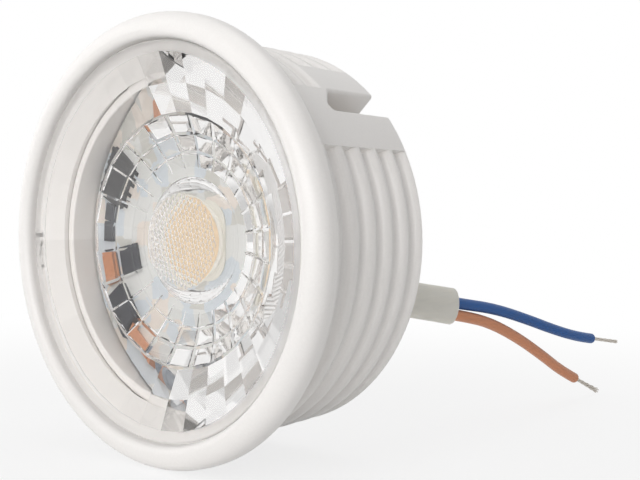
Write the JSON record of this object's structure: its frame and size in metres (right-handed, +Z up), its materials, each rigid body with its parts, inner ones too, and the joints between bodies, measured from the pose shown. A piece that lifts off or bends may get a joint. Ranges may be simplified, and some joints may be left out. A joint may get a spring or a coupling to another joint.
{
  "type": "led spotlight module",
  "caption": "Round recessed LED spotlight module with a white ribbed housing, a rounded rim, a faceted clear lens and stripped leads that come out of the rear through a sleeve.",
  "frame": {"origin": "middle of the rim's round land, on the lamp axis", "axes": "lamp axis along Y, light leaves towards -Y, leads leave towards +Y, +Z up"},
  "size_m": [0.05, 0.0796, 0.05],
  "materials": {
    "white_plastic": "smooth white moulded plastic, slightly satin",
    "clear_plastic": "polished clear acrylic",
    "coated_aluminium": "matt pale coating on drawn aluminium",
    "grey_pad": "soft grey thermal pad",
    "white_board": "white solder mask on metal core",
    "led_ceramic": "white ceramic substrate",
    "dam_silicone": "white silicone",
    "phosphor": "yellow-orange phosphor in silicone",
    "black_package": "black moulded chip package",
    "dark_ceramic": "dark coated ceramic",
    "tan_ceramic": "tan ceramic",
    "grey_ceramic": "grey coated ceramic with metal caps",
    "steel": "zinc-plated steel",
    "solder": "bright solder",
    "sleeve_silicone": "translucent off-white silicone tube",
    "blue_pvc": "blue wire insulation",
    "brown_pvc": "light brown wire insulation",
    "tinned_copper": "tinned copper strands"
  },
  "bodies": {
    "root": {"housing": "white_plastic", "lens": "clear_plastic", "heat_cup": "coated_aluminium", "thermal_pad": "grey_pad", "led_board": "white_board", "led_base": "led_ceramic", "led_dam": "dam_silicone", "led_phosphor": "phosphor", "bridge_rectifier": "black_package", "driver_ics": "black_package", "varistor": "dark_ceramic", "smd_capacitors": "tan_ceramic", "smd_resistors": "dark_ceramic", "sense_resistor": "dark_ceramic", "fuse_resistor": "grey_ceramic", "board_screws": "steel", "solder_joints": "solder", "sleeve": "sleeve_silicone", "blue_insulation": "blue_pvc", "brown_insulation": "brown_pvc", "blue_conductor": "tinned_copper", "brown_conductor": "tinned_copper"}
  },
  "joints": []
}
